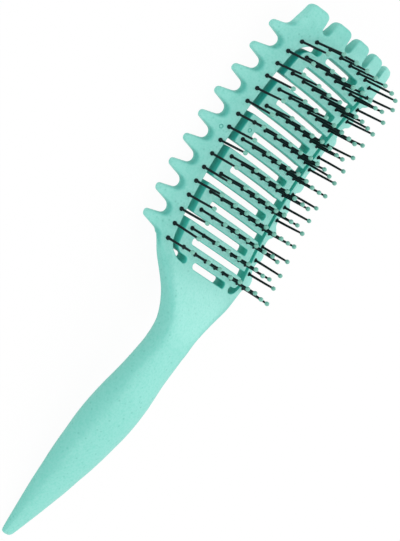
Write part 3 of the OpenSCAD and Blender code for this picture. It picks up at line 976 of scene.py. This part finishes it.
# %% Places of the pins
ROW_PINS, STRIP_PINS, END_PINS = 7, 16, 7
PIN_PITCH, STRIP_PIN_Y, END_PIN_PITCH = 6.2, 26.1, 6.6
STRIP_TOP_X, STRIP_LOW_X = row_x(0) + RIB_PITCH / 2, row_x(RIB_ROWS - 1) - SLOT_W / 8
FIRST_PIN_X, FIRST_PIN_SHARE = 0.995 * STRIP_TOP_X, 0.94
OUTER_END_STEP = 0.15 * END_BAR


def row_spots(i):
    return [(row_x(i), (j - (ROW_PINS - 1) / 2) * PIN_PITCH) for j in range(ROW_PINS)]


def strip_spot(k, side):
    """Place of a pin on an edge strip. The first stands in from the corner."""
    if k == 0:
        return FIRST_PIN_X, side * FIRST_PIN_SHARE * STRIP_PIN_Y
    return STRIP_TOP_X + (STRIP_LOW_X - STRIP_TOP_X) * k / (STRIP_PINS - 1), side * STRIP_PIN_Y


def end_spot(j):
    """Place of a pin before the fingers. The two outer ones stand a little back."""
    step = OUTER_END_STEP if j in (0, END_PINS - 1) else 0
    return END_ROW_X - step, (j - (END_PINS - 1) / 2) * END_PIN_PITCH


GROUPS = {f"row_{i + 1:02d}": row_spots(i) for i in range(RIB_ROWS)}
GROUPS["left_strip"] = [strip_spot(k, 1) for k in range(STRIP_PINS)]
GROUPS["right_strip"] = [strip_spot(k, -1) for k in range(STRIP_PINS)]
GROUPS["end_row"] = [end_spot(j) for j in range(END_PINS)]
print("pins:", sum(len(g) for g in GROUPS.values()))

# %% [markdown]
# Each pin is pushed through the head from the back, so its flat head lies in a small
# round recess there. The front has two fine ring marks, where the mould pushed the part
# out. Both could be drawn into the plan, but they would crowd its grid. A Boolean fits
# better: one set of short cylinders and thin rings cuts them all at once.

# %% Cutters for the recesses
PIN_HEAD_D, PIN_HEAD_T, HEAD_SINK, HEAD_FIT = 2.6, 0.8, 0.2, 0.15
RECESS_R, RECESS_DEEP = PIN_HEAD_D / 2 + HEAD_FIT, PIN_HEAD_T + PLATE_T / 2 + PANEL_DEEP
RECESS_SIDES, RECESS_SHADE = 20, 0.6
bm = bmesh.new()
shade_layer = bm.verts.layers.float.new("painted_shade")
for x, y in (spot for spots in GROUPS.values() for spot in spots):
    top = skin(x, y) - PLATE_T + HEAD_SINK + PIN_HEAD_T
    bmesh.ops.create_cone(bm, cap_ends=True, segments=RECESS_SIDES, radius1=RECESS_R, radius2=RECESS_R,
                          depth=RECESS_DEEP, matrix=Matrix.Translation((x, y, top - RECESS_DEEP / 2)))
print("cutter faces for the recesses:", len(bm.faces))

# %% Cutters for the ring marks
MARKS, MARK_R, MARK_LINE = [(3.3, 28.8), (8.4, 18.2)], 0.75, 0.22
MARK_STEPS, MARK_LINE_SIDES = 20, 8
upright = Matrix.Translation((MARK_R, 0, 0)) @ Matrix.Rotation(math.pi / 2, 4, "X")
for x, y in MARKS:
    others = set(bm.verts)
    ring = bmesh.ops.create_circle(bm, segments=MARK_LINE_SIDES, radius=MARK_LINE, matrix=upright)
    edges = list({e for v in ring["verts"] for e in v.link_edges})
    bmesh.ops.spin(bm, geom=ring["verts"] + edges, cent=(0, 0, 0), axis=(0, 0, 1), angle=math.tau,
                   steps=MARK_STEPS, use_merge=True)
    tilt = Matrix.Rotation(-math.asin(y / ARCH_R), 4, "X")
    bmesh.ops.transform(bm, matrix=Matrix.Translation((x, y, skin(x, y))) @ tilt,
                        verts=[v for v in bm.verts if v not in others])
print("cutter faces with the rings:", len(bm.faces))

# %% Cut the moulding
# The faces cut by the recesses and the ring marks take painted shade from the cutter.
for v in bm.verts:
    v[shade_layer] = RECESS_SHADE
bmesh.ops.recalc_face_normals(bm, faces=bm.faces)
bmesh.ops.transform(bm, matrix=TO_GROUND, verts=bm.verts)
cutter_mesh = bpy.data.meshes.new("recess_cutter")
bm.to_mesh(cutter_mesh)
bm.free()
cutter = bpy.data.objects.new("recess_cutter", cutter_mesh)
bpy.context.scene.collection.objects.link(cutter)
cut = body.modifiers.new("recesses", "BOOLEAN")
cut.object, cut.operation, cut.solver = cutter, "DIFFERENCE", "MANIFOLD"
graph = bpy.context.evaluated_depsgraph_get()
cut_mesh = bpy.data.meshes.new_from_object(body.evaluated_get(graph))
body.modifiers.clear()
body.data = cut_mesh
bpy.data.objects.remove(cutter)
body.data.shade_smooth()
body.data.set_sharp_from_angle(angle=math.radians(SHARP_FROM))
print("body after the cuts:", len(body.data.polygons), "faces")

# %% [markdown]
# A pin is a thin peg with a flat head, a stem in the plate, a low collar on the front and a
# shaft that gets thinner. It could be stacked from cylinders, but their joints would show.
# Spinning one profile round the axis gives a single closed skin with eight sides, which is
# enough for 1 mm. It is turned once and stamped at every place.

# %% One upright pin
PIN_D, PIN_TOP_D, COLLAR_D, COLLAR_H = 1.05, 0.9, 1.85, 0.45
PIN_SIDES, PIN_IN_BALL = 8, 0.16
PIN_SEAT = -(PLATE_T - HEAD_SINK - PIN_HEAD_T)
PIN_TOP = PIN_LEN + PIN_IN_BALL * BALL_D
# Radius and height over the face, from the head's middle up to the end inside the ball.
PIN_PROFILE = [
    (0, PIN_SEAT - PIN_HEAD_T), (PIN_HEAD_D / 2, PIN_SEAT - PIN_HEAD_T), (PIN_HEAD_D / 2, PIN_SEAT),
    (COLLAR_D / 2, PIN_SEAT), (COLLAR_D / 2, 0.7 * COLLAR_H), (0.36 * COLLAR_D, COLLAR_H + 0.1),
    (0.48 * PIN_D, 1.1), (0.47 * PIN_D, 6), (0.45 * PIN_D, 11),
    (0.47 * PIN_TOP_D, PIN_TOP), (0, PIN_TOP)]

bm = bmesh.new()
profile = [bm.verts.new((r, 0, h)) for r, h in PIN_PROFILE]
edges = [bm.edges.new(pair) for pair in zip(profile, profile[1:])]
bmesh.ops.spin(bm, geom=profile + edges, cent=(0, 0, 0), axis=(0, 0, 1), angle=math.tau,
               steps=PIN_SIDES, use_merge=True)
bmesh.ops.remove_doubles(bm, verts=bm.verts, dist=NEAR)
bmesh.ops.recalc_face_normals(bm, faces=bm.faces)
upright_pin = bpy.data.meshes.new("upright_pin")
bm.to_mesh(upright_pin)
bm.free()
print("a pin has", len(upright_pin.polygons), "faces")

# %% [markdown]
# Real pins never stand quite straight, and a drop of resin sets a little narrower than a
# true ball. Without this the rows would look drawn with a ruler. The pins could be bent by
# hand or by a modifier, but a small sideways move that grows with the height bends them as
# well. The chance is seeded, so the brush is the same every time.

# %% Pins and balls
LEAN, LEAST_LEAN, BEND_POWER = 0.55, 0.2, 1.5
LEAST_SQUASH, MOST_SQUASH, BALL_HEIGHT = 0.86, 0.93, 0.96
BALL_SEGMENTS, BALL_RINGS = 10, 6
chance = random.Random(57)


def lean_at(lean, h):
    """How far sideways a leaning pin is at the height h, and how much lower it gets."""
    share = max(0.0, h) / PIN_LEN
    side = Vector(lean) * share**BEND_POWER
    return Vector((side.x, side.y, -side.length_squared / (2 * PIN_LEN)))


def add_pin(pins, base, lean):
    standing = len(pins.verts)
    pins.from_mesh(upright_pin)
    pins.verts.ensure_lookup_table()
    for v in pins.verts[standing:]:
        v.co += base + lean_at(lean, v.co.z)


def add_ball(balls, base, lean, squash):
    centre = base + Vector((0, 0, PIN_LEN)) + lean_at(lean, PIN_LEN)
    shape = Matrix.Diagonal((squash, squash, BALL_HEIGHT, 1))
    bmesh.ops.create_uvsphere(balls, u_segments=BALL_SEGMENTS, v_segments=BALL_RINGS,
                              radius=BALL_D / 2, matrix=Matrix.Translation(centre) @ shape)


for name, spots in GROUPS.items():
    pins = bmesh.new()
    balls = bmesh.new()
    for x, y in spots:
        angle = chance.uniform(0, math.tau)
        reach = chance.uniform(LEAST_LEAN, 1) * LEAN
        lean = (reach * math.cos(angle), reach * math.sin(angle))
        base = Vector((x, y, skin(x, y)))
        add_pin(pins, base, lean)
        add_ball(balls, base, lean, chance.uniform(LEAST_SQUASH, MOST_SQUASH))
    finish_piece(pins, f"nylon_pins_{name}", black_nylon, [f"pins_{name}"], PIN_SHARP_FROM)
    finish_piece(balls, f"resin_balls_{name}", mint_resin, [f"balls_{name}"], BALL_SHARP_FROM)
bpy.data.meshes.remove(upright_pin)
